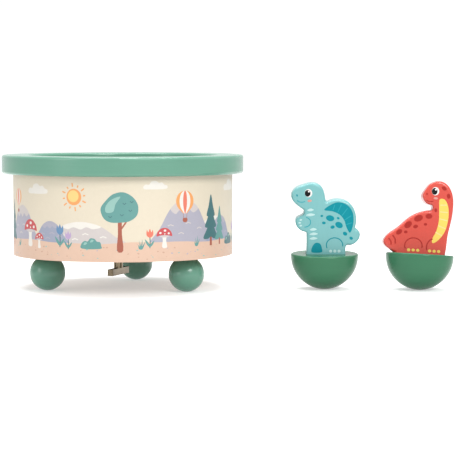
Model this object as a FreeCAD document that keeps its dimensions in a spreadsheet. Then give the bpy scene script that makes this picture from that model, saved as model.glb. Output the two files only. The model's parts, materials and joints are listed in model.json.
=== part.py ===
"""A child's wooden wind-up music box: a drum casing on ball feet, a pinned-cylinder
movement inside it, and two magnetic figures that dance on its stage."""
import FreeCAD, Part
import Sketcher
import math
import operator
import os
from types import SimpleNamespace

Vector = FreeCAD.Vector
Rotation = FreeCAD.Rotation
Placement = FreeCAD.Placement
Y_AXIS = Vector(0, 1, 0)
Z_AXIS = Vector(0, 0, 1)
ALONG_X = Rotation(Y_AXIS, 90)
NEAR = 1e-4

# Driving dimensions in millimetres, degrees and counts
DIMENSIONS = {
    # casing
    "wall_diameter": 126.6, "wall_thick": 6.0, "drum_height": 46.9, "sleeve_thick": 0.28,
    "ring_overhang": 6.7, "ring_width": 15.3, "ring_height": 10.7, "ring_round": 1.5,
    "base_thick": 5.0, "stage_thick": 4.5, "stage_lip": 2.5, "stage_seat": 2.1,
    "ball_foot": 20.4, "foot_height": 19.8, "foot_inset": 17.0, "foot_angle": 84.0,
    "dowel_diameter": 2.4, "dowel_length": 9.0,
    # clearances
    "glue_gap": 0.1, "snug_gap": 0.02, "running_gap": 0.05, "end_gap": 0.2,
    # screws
    "wood_screw": 2.4, "wood_screw_head": 5.2, "wood_screw_length": 13.0, "head_height": 1.6,
    "machine_screw": 2.0, "machine_screw_head": 3.8, "machine_head_height": 1.2, "slot_width": 0.6,
    # movement seat and bedplate
    "movement_shift": -3.0, "movement_angle": 24.0, "bed_thick": 2.4,
    "bed_back": 13.0, "bed_front": 50.0, "bed_side": 24.6, "bed_screw_inset": 3.2,
    "side_screw_along": 11.0, "side_screw_across": 17.0, "front_screw_along": 27.0,
    "front_screw_across": -14.5,
    # winding key and arbor
    "key_length": 24.0, "key_width": 3.6, "key_height": 3.8, "key_wall": 0.7, "key_bottom": 7.4,
    "key_angle": 70.0, "key_hub": 5.4, "rivet_diameter": 1.8, "key_hole": 9.0,
    "arbor_diameter": 4.0, "collar_diameter": 6.4, "collar_height": 1.2, "bush_diameter": 8.0,
    "bush_flange": 12.0, "bush_flange_height": 1.0, "bush_height": 8.0,
    "clutch_wire": 0.8, "clutch_turns": 5, "clutch_gap": 0.15,
    # spring barrel and magnet arm
    "barrel_diameter": 29.0, "barrel_height": 10.0, "barrel_wall": 1.0, "barrel_floor": 1.2,
    "cover_thick": 1.2, "spring_strip": 0.35, "spring_pitch": 1.2, "spring_turns": 6,
    "arm_length": 62.0, "arm_width": 13.0, "arm_thick": 3.0, "arm_boss": 18.0,
    "arm_screw_pitch": 12.5, "magnet_diameter": 10.0, "magnet_height": 4.0, "cup_wall": 1.4,
    "magnet_gap": 1.0,
    # gear train
    "crown_teeth": 30, "crown_pinion_teeth": 15, "crown_module": 0.8, "crown_face": 3.0,
    "crown_plate": 1.0, "wheel_teeth": 36, "fast_pinion_teeth": 12, "train_module": 0.5,
    "wheel_thick": 1.5, "worm_wheel_teeth": 20, "worm_module": 0.7, "worm_wheel_thick": 1.0,
    "worm_diameter": 4.8, "wheel_clearance": 0.8, "gear_side_gap": 2.2,
    # pinned cylinder and comb
    "cylinder_diameter": 12.8, "pin_height": 0.7, "pin_diameter": 0.5, "comb_notes": 18,
    "tooth_pitch": 1.05, "tooth_slit": 0.25, "comb_thick": 1.0, "comb_depth": 17.5,
    "comb_bar": 6.4, "comb_taper": 3.4, "comb_clearance": 0.2, "spindle_diameter": 2.0,
    "fast_spindle": 1.6, "bearing_width": 2.4, "bracket_width": 6.0, "bracket_foot": 1.4,
    "bracket_reach": 5.0, "bracket_head": 2.4,
    # air-brake governor
    "fan_diameter": 10.0, "fan_height": 5.0, "fan_blade": 0.6, "governor_height": 26.0,
    # figures
    "figure_gap": 27.3, "pair_gap": 15.5, "figure_ball": 39.0, "flat_rise": 1.2, "ball_round": 1.0,
    "sail_depth": -11.7, "longneck_depth": -15.9, "sail_nod": 2.2, "longneck_lean": 3.4,
    "longneck_tip": 4.5, "plate_thick": 12.0, "plate_round": 1.5, "plate_corner": 1.2, "bore_diameter": 9.0,
    "bore_depth": 18.0, "weight_length": 8.0, "peg_rise": 9.0,
}


class Size:
    """A length, angle or count: its value, and the expression that ties it to the sheet."""

    def __init__(self, value, text):
        self.value = value
        self.text = text

    def __add__(self, other):
        return combine(operator.add, "+", self, other)

    def __radd__(self, other):
        return combine(operator.add, "+", other, self)

    def __sub__(self, other):
        return combine(operator.sub, "-", self, other)

    def __rsub__(self, other):
        return combine(operator.sub, "-", other, self)

    def __mul__(self, other):
        return combine(operator.mul, "*", self, other)

    def __rmul__(self, other):
        return combine(operator.mul, "*", other, self)

    def __truediv__(self, other):
        return combine(operator.truediv, "/", self, other)

    def __neg__(self):
        return combine(operator.sub, "-", 0, self)

    def __float__(self):
        return float(self.value)


def as_size(number):
    return number if isinstance(number, Size) else Size(float(number), f"({float(number)})")


def combine(operation, sign, left, right):
    left, right = as_size(left), as_size(right)
    return Size(operation(left.value, right.value), f"({left.text} {sign} {right.text})")


def cosine(angle):
    return Size(math.cos(math.radians(angle.value)), f"cos({angle.text})")


def sine(angle):
    return Size(math.sin(math.radians(angle.value)), f"sin({angle.text})")


doc = FreeCAD.newDocument("music_box")
sheet = doc.addObject("Spreadsheet::Sheet", "dims")
for row, (alias, number) in enumerate(DIMENSIONS.items(), start=1):
    sheet.set(f"A{row}", alias)
    sheet.set(f"B{row}", str(number))
    sheet.setAlias(f"B{row}", alias)
doc.recompute()
dims = SimpleNamespace(**{alias: Size(float(sheet.get(alias)), f"dims.{alias}") for alias in DIMENSIONS})
nodes = []

# Levels above the floor, worked out from the driving dimensions
base_bottom = dims.foot_height
base_top = base_bottom + dims.base_thick
drum_top = base_bottom + dims.drum_height
ring_top = drum_top + dims.ring_height
stage_top = drum_top + dims.stage_thick
bed_top = base_top + dims.bed_thick
wheel_radius = dims.wheel_teeth * dims.train_module / 2
axis_level = bed_top + dims.wheel_clearance + wheel_radius + dims.train_module
crown_radius = dims.crown_teeth * dims.crown_module / 2
crown_pinion_radius = dims.crown_pinion_teeth * dims.crown_module / 2
crown_level = axis_level + crown_pinion_radius
CROWN_ADDENDUM = 0.8
CROWN_DEDENDUM = 1.15
crown_root = crown_level + CROWN_DEDENDUM * dims.crown_module
barrel_bottom = crown_root + dims.crown_plate
barrel_top = barrel_bottom + dims.barrel_height
cover_top = barrel_top + dims.cover_thick
cup_top = drum_top - dims.magnet_gap
arm_top = cup_top - dims.magnet_height - dims.end_gap
arm_bottom = arm_top - dims.arm_thick
key_top = dims.key_bottom + dims.key_height
arbor_bottom = key_top + dims.collar_height
collar_top = barrel_bottom - dims.end_gap
collar_bottom = collar_top - dims.collar_height
bush_top = bed_top + dims.bush_height

# Radii of the casing
wall_radius = dims.wall_diameter / 2
wall_inner = wall_radius - dims.wall_thick
ring_radius = wall_radius + dims.ring_overhang
bore_radius = ring_radius - dims.ring_width
foot_circle = wall_radius - dims.foot_inset
rebate_radius = wall_inner + dims.stage_seat
dowel_circle = (rebate_radius + wall_radius) / 2
base_screw_circle = (wall_inner + wall_radius) / 2
arbor_radius = dims.arbor_diameter / 2
barrel_radius = dims.barrel_diameter / 2
spindle_radius = dims.spindle_diameter / 2
fast_radius = dims.fast_spindle / 2
worm_radius = dims.worm_diameter / 2

# Stations along the cylinder's own line, measured from the winding axis
pinion_start = crown_radius - dims.crown_face / 2
inner_bearing = barrel_radius + dims.end_gap * 3
cylinder_start = inner_bearing + dims.bearing_width + dims.end_gap * 3
cylinder_length = dims.comb_notes * dims.tooth_pitch + dims.tooth_pitch
cylinder_end = cylinder_start + cylinder_length
wheel_start = cylinder_end + dims.end_gap * 4
worm_wheel_start = wheel_start + dims.wheel_thick + dims.gear_side_gap
outer_bearing = worm_wheel_start + dims.worm_wheel_thick + dims.gear_side_gap
spindle_end = outer_bearing + dims.bearing_width
fast_pinion_radius = dims.fast_pinion_teeth * dims.train_module / 2
fast_line = wheel_radius + fast_pinion_radius
worm_wheel_radius = dims.worm_wheel_teeth * dims.worm_module / 2
worm_line = fast_line + worm_wheel_radius + worm_radius
worm_station = worm_wheel_start + dims.worm_wheel_thick / 2

# Places of the drum and the figures along the set
ball_radius = dims.figure_ball / 2
set_length = 2 * ring_radius + dims.figure_gap + 2 * dims.figure_ball + dims.pair_gap
drum_x = ring_radius - set_length / 2
sail_x = drum_x + ring_radius + dims.figure_gap + ball_radius
longneck_x = sail_x + dims.figure_ball + dims.pair_gap
movement_x = drum_x + dims.movement_shift


# Frames: the place and turn that a group of pieces shares
class Frame:
    """A place in the set, with a turn about each axis, that pieces are seated in."""

    def __init__(self, x, y=0, z=0, yaw=0, pitch=0, roll=0):
        self.place = [as_size(side) for side in (x, y, z)]
        self.turn = [as_size(angle) for angle in (yaw, pitch, roll)]

    def placement(self):
        place = Vector(*[float(side) for side in self.place])
        return Placement(place, Rotation(*[float(angle) for angle in self.turn]))

    def seat(self, item, label):
        """Name a finished sub-part and put it in its place."""
        item.Placement = self.placement().multiply(item.Placement)
        for axis, side in zip("xyz", self.place):
            item.setExpression(f"Placement.Base.{axis}", side.text)
        item.Label = label
        nodes.append(item)
        return item


def movement_frame(along=0, across=0, level=0):
    """A frame turned with the movement, at a point given along and across the cylinder's line."""
    along, across = as_size(along), as_size(across)
    angle = dims.movement_angle
    x = movement_x + along * cosine(angle) - across * sine(angle)
    y = along * sine(angle) + across * cosine(angle)
    return Frame(x, y, level, yaw=angle)


drum = Frame(drum_x)
movement = movement_frame()
cylinder_frame = movement_frame(level=axis_level)
fast_frame = movement_frame(across=-fast_line, level=axis_level)
worm_frame = movement_frame(along=worm_station, across=-worm_line)
key_frame = Frame(movement_x, yaw=dims.key_angle)
sail_frame = Frame(sail_x, dims.sail_depth, ball_radius, roll=dims.sail_nod)
longneck_frame = Frame(longneck_x, dims.longneck_depth, ball_radius,
                       pitch=dims.longneck_lean, roll=-dims.longneck_tip)


def around(radius, angle, count):
    """Points evenly spaced on a circle about the origin, the first at the given angle."""
    steps = [as_size(angle) + 360.0 / count * step for step in range(count)]
    return [(radius * cosine(step), radius * sine(step)) for step in steps]


def in_movement(along, across):
    """A point of the movement, given in the drum's own frame."""
    angle = dims.movement_angle
    x = dims.movement_shift + along * cosine(angle) - across * sine(angle)
    return x, along * sine(angle) + across * cosine(angle)


FOOT_NAMES = ["foot_rear", "foot_front_left", "foot_front_right"]
FEET = len(FOOT_NAMES)
foot_points = around(foot_circle, dims.foot_angle, FEET)
base_screw_points = around(base_screw_circle, dims.foot_angle + 180.0 / FEET, FEET)
dowel_points = around(dowel_circle, dims.foot_angle, FEET)
bed_screw_local = [(dims.bed_screw_inset - dims.bed_back, as_size(0)),
                   (dims.side_screw_along, dims.side_screw_across),
                   (dims.front_screw_along, dims.front_screw_across)]


# Building blocks
def bind(item, **sizes):
    for name, size in sizes.items():
        item.setExpression(name, as_size(size).text)
    return item


def put(item, x=0, y=0, z=0):
    for axis, size in zip("xyz", (x, y, z)):
        item.setExpression(f"Placement.Base.{axis}", as_size(size).text)
    return item


def rod(name, radius, length, x=0, y=0, z=0, turn=None):
    item = doc.addObject("Part::Cylinder", name)
    if turn:
        item.Placement = Placement(Vector(), turn)
    bind(item, Radius=radius, Height=length)
    return put(item, x, y, z)


def block(name, x, y, z):
    """A box between two limits along each axis."""
    item = doc.addObject("Part::Box", name)
    bind(item, Length=x[1] - x[0], Width=y[1] - y[0], Height=z[1] - z[0])
    return put(item, x[0], y[0], z[0])


def fuse(name, items):
    item = doc.addObject("Part::MultiFuse", name)
    item.Shapes = items
    return item


def cut(name, base, tools):
    item = doc.addObject("Part::Cut", name)
    item.Base = base
    item.Tool = tools[0] if len(tools) == 1 else fuse(f"{name}_tools", tools)
    return item


def group(name, items):
    item = doc.addObject("Part::Compound", name)
    item.Links = items
    return item


def shaped(name, shape):
    item = doc.addObject("Part::Feature", name)
    item.Shape = shape
    return item


def screw(name, head, shank, length, head_height, x, y, z, head_up=True):
    """A slotted screw whose head seats at z, with its shank below it or above it."""
    head_z = z if head_up else z - head_height
    shank_z = z - length if head_up else z
    slot_z = z + head_height / 2 if head_up else z - head_height
    solid = fuse(f"{name}_blank", [rod(f"{name}_head", head / 2, head_height, x, y, head_z),
                                   rod(f"{name}_shank", shank / 2, length, x, y, shank_z)])
    slot = block(f"{name}_slot", (x - head, x + head), (y - dims.slot_width / 2, y + dims.slot_width / 2),
                 (slot_z, slot_z + head_height / 2))
    return cut(name, solid, [slot])


def wood_screw(name, x, y, z, head_up):
    return screw(name, dims.wood_screw_head, dims.wood_screw, dims.wood_screw_length,
                 dims.head_height, as_size(x), as_size(y), z, head_up)


def machine_screw(name, length, x, y, z, head_up=True):
    return screw(name, dims.machine_screw_head, dims.machine_screw, length,
                 dims.machine_head_height, as_size(x), as_size(y), z, head_up)


def plane_of(body, role):
    return next(plane for plane in body.Origin.OriginFeatures if plane.Role == role)


def new_sketch(body, name, role, level=0):
    sketch = body.newObject("Sketcher::SketchObject", name)
    sketch.AttachmentSupport = (plane_of(body, role), [""])
    sketch.MapMode = "FlatFace"
    sketch.setExpression("AttachmentOffset.Base.z", as_size(level).text)
    return sketch


def tie(sketch, kind, first, second, size):
    """A sketch dimension bound to the sheet, from one point to another."""
    size = as_size(size)
    if size.value < 0:
        first, second, size = second, first, -size
    index = sketch.addConstraint(Sketcher.Constraint(kind, *first, *second, size.value))
    sketch.setExpression(f"Constraints[{index}]", size.text)


def fix_point(sketch, point, x, y):
    """Hold one sketch point at x and y from the sketch's origin."""
    origin = (-1, 1)
    for kind, size, axis in (("DistanceX", as_size(x), -2), ("DistanceY", as_size(y), -1)):
        if size.value == 0:
            sketch.addConstraint(Sketcher.Constraint("PointOnObject", *point, axis))
        else:
            tie(sketch, kind, origin, point, size)


def polygon(body, name, role, points, level=0):
    sketch = new_sketch(body, name, role, level)
    corners = [Vector(float(x), float(y), 0) for x, y in points]
    count = len(corners)
    for index in range(count):
        sketch.addGeometry(Part.LineSegment(corners[index], corners[(index + 1) % count]))
    for index in range(count):
        sketch.addConstraint(Sketcher.Constraint("Coincident", index, 2, (index + 1) % count, 1))
    for index, (x, y) in enumerate(points):
        fix_point(sketch, (index, 1), x, y)
    return sketch


def revolve(body, sketch, axis):
    turned = body.newObject("PartDesign::Revolution", f"{body.Name}_turned")
    turned.Profile = sketch
    turned.ReferenceAxis = (sketch, [axis])
    turned.Angle = 360.0
    return turned


def lathe(name, profile, axis="V_Axis"):
    """A turned piece: a profile of radius and height, or of station and radius for H_Axis."""
    body = doc.addObject("PartDesign::Body", name)
    revolve(body, polygon(body, f"{name}_profile", "XZ_Plane", profile), axis)
    doc.recompute()
    return body


def tube(name, inner, outer, low, high):
    return lathe(name, [(inner, low), (outer, low), (outer, high), (inner, high)])


def disc(name, radius, low, high):
    return lathe(name, [(0, low), (radius, low), (radius, high), (0, high)])


def drill(body, name, top, depth, holes):
    """Round holes in a body, each cut down from one level by one depth."""
    sketch = new_sketch(body, f"{name}_circles", "XY_Plane", top)
    for index, (x, y, radius) in enumerate(holes):
        sketch.addGeometry(Part.Circle(Vector(float(x), float(y), 0), Z_AXIS, float(radius)))
        fix_point(sketch, (index, 3), x, y)
        bore = sketch.addConstraint(Sketcher.Constraint("Radius", index, float(radius)))
        sketch.setExpression(f"Constraints[{bore}]", as_size(radius).text)
    volume = body.Shape.Volume
    pocket = body.newObject("PartDesign::Pocket", name)
    pocket.Profile = sketch
    bind(pocket, Length=depth)
    doc.recompute()
    if body.Shape.Volume >= volume:
        raise ValueError(f"{name} cut nothing")


def round_over(body, name, radius, wanted):
    """Round the edges of a body that a test picks."""
    tip = body.Tip
    edges = [f"Edge{index}" for index, edge in enumerate(tip.Shape.Edges, start=1) if wanted(edge)]
    rounding = body.newObject("PartDesign::Fillet", name)
    rounding.Base = (tip, edges)
    bind(rounding, Radius=radius)
    doc.recompute()


def circle_at(radius, level):
    """A test for a circular edge about the upright axis, of one radius at one level."""
    def wanted(edge):
        if edge.Degenerated or not isinstance(edge.Curve, Part.Circle):
            return False
        same_level = abs(edge.Curve.Center.z - float(level)) < NEAR
        return same_level and abs(edge.Curve.Radius - float(radius)) < NEAR
    return wanted


def turned_ball(name, radius, flat_level):
    """A ball about the origin with a flat sawn across its top."""
    body = doc.addObject("PartDesign::Body", name)
    sketch = new_sketch(body, f"{name}_profile", "XZ_Plane")
    ball, flat = float(radius), float(flat_level)
    edge = math.sqrt(ball ** 2 - flat ** 2)
    sketch.addGeometry(Part.LineSegment(Vector(0, -ball, 0), Vector(0, flat, 0)))
    sketch.addGeometry(Part.LineSegment(Vector(0, flat, 0), Vector(edge, flat, 0)))
    circle = Part.Circle(Vector(), Z_AXIS, ball)
    sketch.addGeometry(Part.ArcOfCircle(circle, -math.pi / 2, math.atan2(flat, edge)))
    for link in ((0, 2, 1, 1), (1, 2, 2, 2), (2, 1, 0, 1), (2, 3, -1, 1)):
        sketch.addConstraint(Sketcher.Constraint("Coincident", *link))
    sketch.addConstraint(Sketcher.Constraint("Horizontal", 1))
    sketch.addConstraint(Sketcher.Constraint("PointOnObject", 0, 1, -2))
    fix_point(sketch, (0, 2), 0, flat_level)
    bow = sketch.addConstraint(Sketcher.Constraint("Radius", 2, ball))
    sketch.setExpression(f"Constraints[{bow}]", as_size(radius).text)
    revolve(body, sketch, "V_Axis")
    doc.recompute()
    return body


# Casing
def make_base_plate():
    body = disc("base_plate", wall_radius, base_bottom, base_top)
    shank = dims.wood_screw / 2 + dims.running_gap
    head = dims.wood_screw_head / 2 + dims.glue_gap
    small = dims.machine_screw / 2 + dims.running_gap
    small_head = dims.machine_screw_head / 2 + dims.glue_gap
    bed_points = [in_movement(*point) for point in bed_screw_local]
    through = [(dims.movement_shift, 0, dims.key_hole / 2)]
    through += [(x, y, shank) for x, y in foot_points + base_screw_points]
    through += [(x, y, small) for x, y in bed_points]
    drill(body, "base_holes", base_top, dims.base_thick, through)
    drill(body, "base_screw_seats", base_bottom + dims.head_height, dims.head_height,
          [(x, y, head) for x, y in base_screw_points])
    drill(body, "bed_screw_seats", base_bottom + dims.machine_head_height, dims.machine_head_height,
          [(x, y, small_head) for x, y in bed_points])
    drum.seat(body, "base_plate")


def make_drum_wall():
    body = tube("drum_wall", wall_inner, wall_radius, base_top, drum_top)
    half = dims.dowel_length / 2
    bite = dims.wood_screw_length - dims.base_thick + dims.head_height + dims.end_gap
    drill(body, "wall_dowel_holes", drum_top, half + dims.end_gap,
          [(x, y, dims.dowel_diameter / 2 + dims.running_gap) for x, y in dowel_points])
    drill(body, "wall_screw_holes", base_top + bite, bite,
          [(x, y, dims.wood_screw / 2 + dims.running_gap) for x, y in base_screw_points])
    drum.seat(body, "drum_wall")


def make_print_sleeve():
    inner = wall_radius + dims.snug_gap
    drum.seat(tube("print_sleeve", inner, inner + dims.sleeve_thick, base_bottom, drum_top), "print_sleeve")


def make_top_ring():
    step = drum_top + dims.stage_lip
    body = lathe("top_ring", [(rebate_radius, drum_top), (ring_radius, drum_top), (ring_radius, ring_top),
                              (bore_radius, ring_top), (bore_radius, step), (rebate_radius, step)])
    corners = [circle_at(ring_radius, drum_top), circle_at(ring_radius, ring_top),
               circle_at(bore_radius, ring_top)]
    round_over(body, "ring_rounding", dims.ring_round, lambda edge: any(test(edge) for test in corners))
    half = dims.dowel_length / 2 + dims.end_gap
    drill(body, "ring_dowel_holes", drum_top + half, half,
          [(x, y, dims.dowel_diameter / 2 + dims.running_gap) for x, y in dowel_points])
    drum.seat(body, "top_ring")


def make_stage_plate():
    seat = rebate_radius - dims.glue_gap
    raised = bore_radius - dims.glue_gap
    lip = drum_top + dims.stage_lip
    body = lathe("stage_plate", [(0, drum_top), (seat, drum_top), (seat, lip), (raised, lip),
                                 (raised, stage_top), (0, stage_top)])
    drum.seat(body, "stage_plate")


def make_ring_dowels():
    low = drum_top - dims.dowel_length / 2
    pegs = [rod(f"ring_dowel_{index}", dims.dowel_diameter / 2, dims.dowel_length, x, y, low)
            for index, (x, y) in enumerate(dowel_points)]
    drum.seat(group("ring_dowels", pegs), "ring_dowels")


def make_base_screws():
    screws = [wood_screw(f"base_screw_{index}", x, y, base_bottom + dims.head_height, False)
              for index, (x, y) in enumerate(base_screw_points)]
    drum.seat(group("base_screws", screws), "base_screws")


def make_feet():
    centre = dims.ball_foot / 2
    bite = dims.wood_screw_length - dims.base_thick + dims.end_gap
    flat = base_bottom - centre
    for name, (x, y) in zip(FOOT_NAMES, foot_points):
        body = turned_ball(name, centre, flat)
        drill(body, f"{name}_pilot", flat, bite, [(0, 0, dims.wood_screw / 2 + dims.running_gap)])
        Frame(drum_x + x, y, centre).seat(body, name)
    screws = [wood_screw(f"foot_screw_{index}", x, y, base_top, True)
              for index, (x, y) in enumerate(foot_points)]
    drum.seat(group("foot_screws", screws), "foot_screws")


# Winding key, arbor and clutch
def make_key():
    half, side = dims.key_length / 2, dims.key_width / 2
    body = doc.addObject("PartDesign::Body", "key_bar")
    plan = polygon(body, "key_plan", "XY_Plane", [(-half, -side), (half, -side), (half, side), (-half, side)],
                   dims.key_bottom)
    bar = body.newObject("PartDesign::Pad", "key_block")
    bar.Profile = plan
    bind(bar, Length=dims.key_height)
    doc.recompute()
    round_over(body, "key_corners", dims.key_wall,
               lambda edge: abs(edge.BoundBox.ZLength - float(dims.key_height)) < NEAR)
    inside, deep = half - dims.key_wall, side - dims.key_wall
    channel = polygon(body, "channel_plan", "XY_Plane",
                      [(-inside, -deep), (inside, -deep), (inside, deep), (-inside, deep)], key_top)
    hollow = body.newObject("PartDesign::Pocket", "key_channel")
    hollow.Profile = channel
    bind(hollow, Length=dims.key_height - dims.key_wall)
    doc.recompute()
    drill(body, "rivet_hole", dims.key_bottom + dims.key_wall, dims.key_wall,
          [(0, 0, dims.rivet_diameter / 2 + dims.snug_gap)])
    key_frame.seat(body, "key_bar")
    rivet, hub = dims.rivet_diameter / 2, dims.key_hub / 2
    socket = arbor_radius + dims.snug_gap
    hub_top = base_bottom - dims.end_gap * 3
    key_frame.seat(lathe("key_hub", [(0, dims.key_bottom), (rivet, dims.key_bottom), (rivet, key_top),
                                     (hub, key_top), (hub, hub_top), (socket, hub_top),
                                     (socket, arbor_bottom), (0, arbor_bottom)]), "key_hub")


def make_winding_arbor():
    collar = dims.collar_diameter / 2
    floor_top = barrel_bottom + dims.barrel_floor + dims.end_gap
    arbor_top = cover_top + dims.end_gap * 3
    profile = [(0, arbor_bottom), (arbor_radius, arbor_bottom), (arbor_radius, collar_bottom),
               (collar, collar_bottom), (collar, collar_top), (arbor_radius, collar_top),
               (arbor_radius, floor_top), (collar, floor_top), (collar, barrel_top - dims.end_gap),
               (arbor_radius, barrel_top - dims.end_gap), (arbor_radius, arbor_top), (0, arbor_top)]
    movement.seat(lathe("winding_arbor", profile), "winding_arbor")


def make_key_bush():
    inner = arbor_radius + dims.running_gap
    body, flange = dims.bush_diameter / 2, dims.bush_flange / 2
    shoulder = bed_top + dims.bush_flange_height
    movement.seat(lathe("key_bush", [(inner, base_top), (body, base_top), (body, bed_top), (flange, bed_top),
                                     (flange, shoulder), (body, shoulder), (body, bush_top),
                                     (inner, bush_top)]), "key_bush")


def make_clutch_spring():
    wire = float(dims.clutch_wire) / 2
    radius = float(arbor_radius + dims.clutch_gap) + wire
    low = bush_top + dims.end_gap + dims.clutch_wire / 2
    rise = float(collar_bottom - dims.end_gap - dims.clutch_wire / 2 - low)
    path = Part.Wire(Part.makeHelix(rise / float(dims.clutch_turns), rise, radius))
    circle = Part.Wire(Part.makeCircle(wire, Vector(radius, 0, 0), Y_AXIS))
    coil = path.makePipeShell([circle], True, True)
    movement_frame(level=low).seat(shaped("clutch_spring", coil), "clutch_spring")


# Spring barrel and magnet arm
def make_spring_barrel():
    bore = arbor_radius + dims.running_gap
    inside = barrel_radius - dims.barrel_wall
    floor_top = barrel_bottom + dims.barrel_floor
    movement.seat(lathe("spring_barrel", [(bore, barrel_bottom), (barrel_radius, barrel_bottom),
                                          (barrel_radius, barrel_top), (inside, barrel_top),
                                          (inside, floor_top), (bore, floor_top)]), "spring_barrel")
    cover = tube("barrel_cover", bore, barrel_radius, barrel_top, cover_top)
    drill(cover, "cover_screw_holes", cover_top, dims.cover_thick,
          [(side * dims.arm_screw_pitch / 2, 0, dims.machine_screw / 2 + dims.snug_gap) for side in (-1, 1)])
    movement.seat(cover, "barrel_cover")


def spiral_edge(first_radius, pitch, half_turns):
    """Half circles of growing radius, with their centres to either side of the axis."""
    edges = []
    start = Vector(first_radius, 0, 0)
    for step in range(half_turns):
        side = 1 if step % 2 == 0 else -1
        reach = first_radius + pitch / 2 * step + pitch / 4
        centre = Vector(start.x - side * reach, 0, 0)
        middle = centre + Vector(0, side * reach, 0)
        end = centre - Vector(side * reach, 0, 0)
        edges.append(Part.Arc(start, middle, end).toShape())
        start = end
    return edges, start


def make_mainspring():
    strip, pitch = float(dims.spring_strip), float(dims.spring_pitch)
    half_turns = 2 * int(float(dims.spring_turns))
    outer_radius = float(barrel_radius - dims.barrel_wall) - float(dims.end_gap)
    inner_radius = outer_radius - strip - pitch * half_turns / 2
    inside, inner_end = spiral_edge(inner_radius, pitch, half_turns)
    outside, outer_end = spiral_edge(inner_radius + strip, pitch, half_turns)
    caps = [Part.LineSegment(Vector(inner_radius, 0, 0), Vector(inner_radius + strip, 0, 0)).toShape(),
            Part.LineSegment(inner_end, outer_end).toShape()]
    face = Part.Face(Part.Wire(Part.__sortEdges__(inside + outside + caps)))
    low = barrel_bottom + dims.barrel_floor + dims.end_gap
    height = float(barrel_top - dims.end_gap - low)
    coil = face.extrude(Vector(0, 0, height))
    movement_frame(level=low).seat(shaped("mainspring", coil), "mainspring")


def make_magnet_arm():
    reach = dims.arm_length / 2
    cup = dims.magnet_diameter / 2 + dims.cup_wall
    side = dims.arm_width / 2
    ends = [(-reach, "left"), (reach, "right")]
    blank = fuse("arm_blank",
                 [block("arm_bar", (-reach, reach), (-side, side), (arm_bottom, arm_top)),
                  rod("arm_hub", dims.arm_boss / 2, arm_bottom - cover_top, 0, 0, cover_top)]
                 + [rod(f"arm_cup_{name}", cup, cup_top - arm_bottom, x, 0, arm_bottom) for x, name in ends])
    relief = rod("arm_relief", arbor_radius + dims.running_gap, dims.end_gap * 5, 0, 0, cover_top)
    pocket = dims.magnet_diameter / 2 + dims.snug_gap
    pockets = [rod(f"arm_pocket_{name}", pocket, cup_top - arm_top, x, 0, arm_top) for x, name in ends]
    holes = [rod(f"arm_hole_{hand}", dims.machine_screw / 2 + dims.running_gap, arm_top - cover_top,
                 hand * dims.arm_screw_pitch / 2, 0, cover_top) for hand in (-1, 1)]
    movement.seat(cut("magnet_arm", blank, [relief] + pockets + holes), "magnet_arm")
    magnets = [rod(f"magnet_{name}", dims.magnet_diameter / 2, dims.magnet_height, x, 0, arm_top)
               for x, name in ends]
    movement.seat(group("drive_magnets", magnets), "drive_magnets")
    length = arm_top - barrel_top
    screws = [machine_screw(f"arm_screw_{hand}", length, hand * dims.arm_screw_pitch / 2, 0, arm_top)
              for hand in (-1, 1)]
    movement.seat(group("arm_screws", screws), "arm_screws")


# Gear train
TOOTH_SHARE = 0.36
PRESSURE_SLOPE = math.tan(math.radians(20))
ADDENDUM = 0.8
DEDENDUM = 1.2


def gear(teeth, module, width, bore, first_angle=0.0):
    """A spur gear about Z with straight-flanked teeth, thinned so that it runs with backlash."""
    count = int(float(teeth))
    module = float(module)
    pitch_radius = count * module / 2
    thickness = TOOTH_SHARE * math.pi * module
    corners = []
    for radius in (pitch_radius - DEDENDUM * module, pitch_radius + ADDENDUM * module):
        half = thickness / 2 - (radius - pitch_radius) * PRESSURE_SLOPE
        corners.append((radius, math.degrees(half / radius)))
    (root, root_half), (tip, tip_half) = corners
    points = []
    for tooth in range(count):
        middle = first_angle + 360.0 * tooth / count
        for radius, angle in ((root, -root_half), (tip, -tip_half), (tip, tip_half), (root, root_half)):
            turn = math.radians(middle + angle)
            points.append(Vector(radius * math.cos(turn), radius * math.sin(turn), 0))
    blank = Part.Face(Part.makePolygon(points + points[:1])).extrude(Vector(0, 0, float(width)))
    return blank.cut(Part.makeCylinder(float(bore), float(width)))


def gear_on(line, name, start, shape):
    """Seat a gear on the spindle that lies beside the cylinder's line, or on the line itself."""
    item = shaped(name, shape)
    item.Placement = Placement(Vector(), ALONG_X)
    movement_frame(start, line, axis_level).seat(item, name)


def make_crown_wheel():
    count = int(float(dims.crown_teeth))
    module, face = float(dims.crown_module), float(dims.crown_face)
    middle = float(crown_radius)
    root, pitch_level = float(crown_root), float(crown_level)
    tip = pitch_level - CROWN_ADDENDUM * module
    half = TOOTH_SHARE * math.pi * module / 2
    inside = middle - face / 2
    corners = []
    for level in (root, tip):
        side = half + (level - pitch_level) * PRESSURE_SLOPE
        corners.append((level, side))
    (high, wide), (low, narrow) = corners
    overlap = float(dims.crown_plate) / 2
    sides = [(-wide, high + overlap), (-wide, high), (-narrow, low),
             (narrow, low), (wide, high), (wide, high + overlap)]
    outline = [Vector(inside, across, level) for across, level in sides]
    tooth = Part.Face(Part.makePolygon(outline + outline[:1])).extrude(Vector(face, 0, 0))
    teeth = []
    for index in range(count):
        copy = tooth.copy()
        copy.rotate(Vector(), Z_AXIS, 360.0 * index / count)
        teeth.append(copy)
    plate_outer = float(barrel_radius)
    plate_inner = inside - float(dims.crown_plate)
    plate = Part.makeCylinder(plate_outer, float(dims.crown_plate), Vector(0, 0, root))
    plate = plate.cut(Part.makeCylinder(plate_inner, float(dims.crown_plate), Vector(0, 0, root)))
    movement.seat(shaped("crown_wheel", plate.multiFuse(teeth).removeSplitter()), "crown_wheel")


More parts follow.
